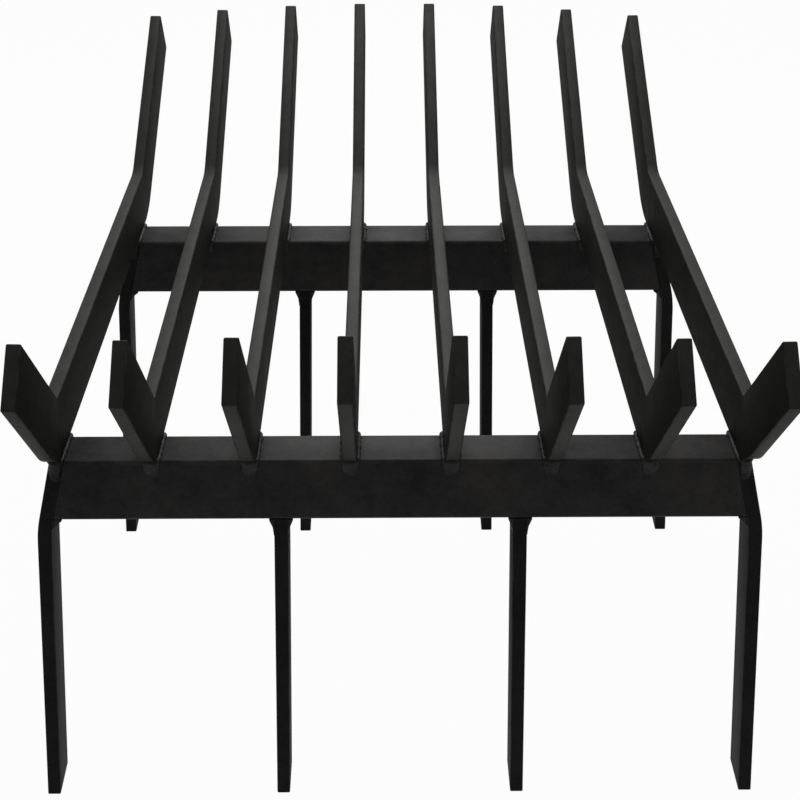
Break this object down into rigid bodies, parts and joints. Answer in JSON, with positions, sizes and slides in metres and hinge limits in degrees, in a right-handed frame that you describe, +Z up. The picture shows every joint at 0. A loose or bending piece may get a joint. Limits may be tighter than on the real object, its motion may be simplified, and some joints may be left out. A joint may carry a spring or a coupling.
{
  "type": "log grate",
  "caption": "Welded steel log grate of bent flat bars on edge, carried by cross rails on flat-bar legs, with raised prongs front and rear to hold logs.",
  "frame": {"origin": "on the hearth, under the middle of the grate's bounding box", "axes": "+Z up, +X to the right along the rails as seen from the front, +Y from the front rail to the rear rail"},
  "size_m": [0.387, 0.5086, 0.3173],
  "materials": {
    "bar_paint": "satin black high-heat paint on flat bar",
    "rail_paint": "satin black high-heat paint on solid bar",
    "leg_paint": "satin black high-heat paint on flat bar",
    "weld_paint": "weld bead under satin black paint"
  },
  "bodies": {
    "root": {"front_rail": "rail_paint", "rear_rail": "rail_paint", "front_leg_outer_left": "leg_paint", "front_leg_inner_left": "leg_paint", "front_leg_outer_right": "leg_paint", "front_leg_inner_right": "leg_paint", "rear_leg_outer_left": "leg_paint", "rear_leg_inner_left": "leg_paint", "rear_leg_outer_right": "leg_paint", "rear_leg_inner_right": "leg_paint", "grate_bar_1": "bar_paint", "grate_bar_2": "bar_paint", "grate_bar_3": "bar_paint", "grate_bar_4": "bar_paint", "grate_bar_5": "bar_paint", "grate_bar_6": "bar_paint", "grate_bar_7": "bar_paint", "grate_bar_8": "bar_paint", "weld_bar_1_front": "weld_paint", "weld_bar_2_front": "weld_paint", "weld_bar_3_front": "weld_paint", "weld_bar_4_front": "weld_paint", "weld_bar_5_front": "weld_paint", "weld_bar_6_front": "weld_paint", "weld_bar_7_front": "weld_paint", "weld_bar_8_front": "weld_paint", "weld_leg_outer_front_left": "weld_paint", "weld_leg_inner_front_left": "weld_paint", "weld_leg_outer_front_right": "weld_paint", "weld_leg_inner_front_right": "weld_paint", "weld_bar_1_rear": "weld_paint", "weld_bar_2_rear": "weld_paint", "weld_bar_3_rear": "weld_paint", "weld_bar_4_rear": "weld_paint", "weld_bar_5_rear": "weld_paint", "weld_bar_6_rear": "weld_paint", "weld_bar_7_rear": "weld_paint", "weld_bar_8_rear": "weld_paint", "weld_leg_outer_rear_left": "weld_paint", "weld_leg_inner_rear_left": "weld_paint", "weld_leg_outer_rear_right": "weld_paint", "weld_leg_inner_rear_right": "weld_paint"}
  },
  "joints": []
}
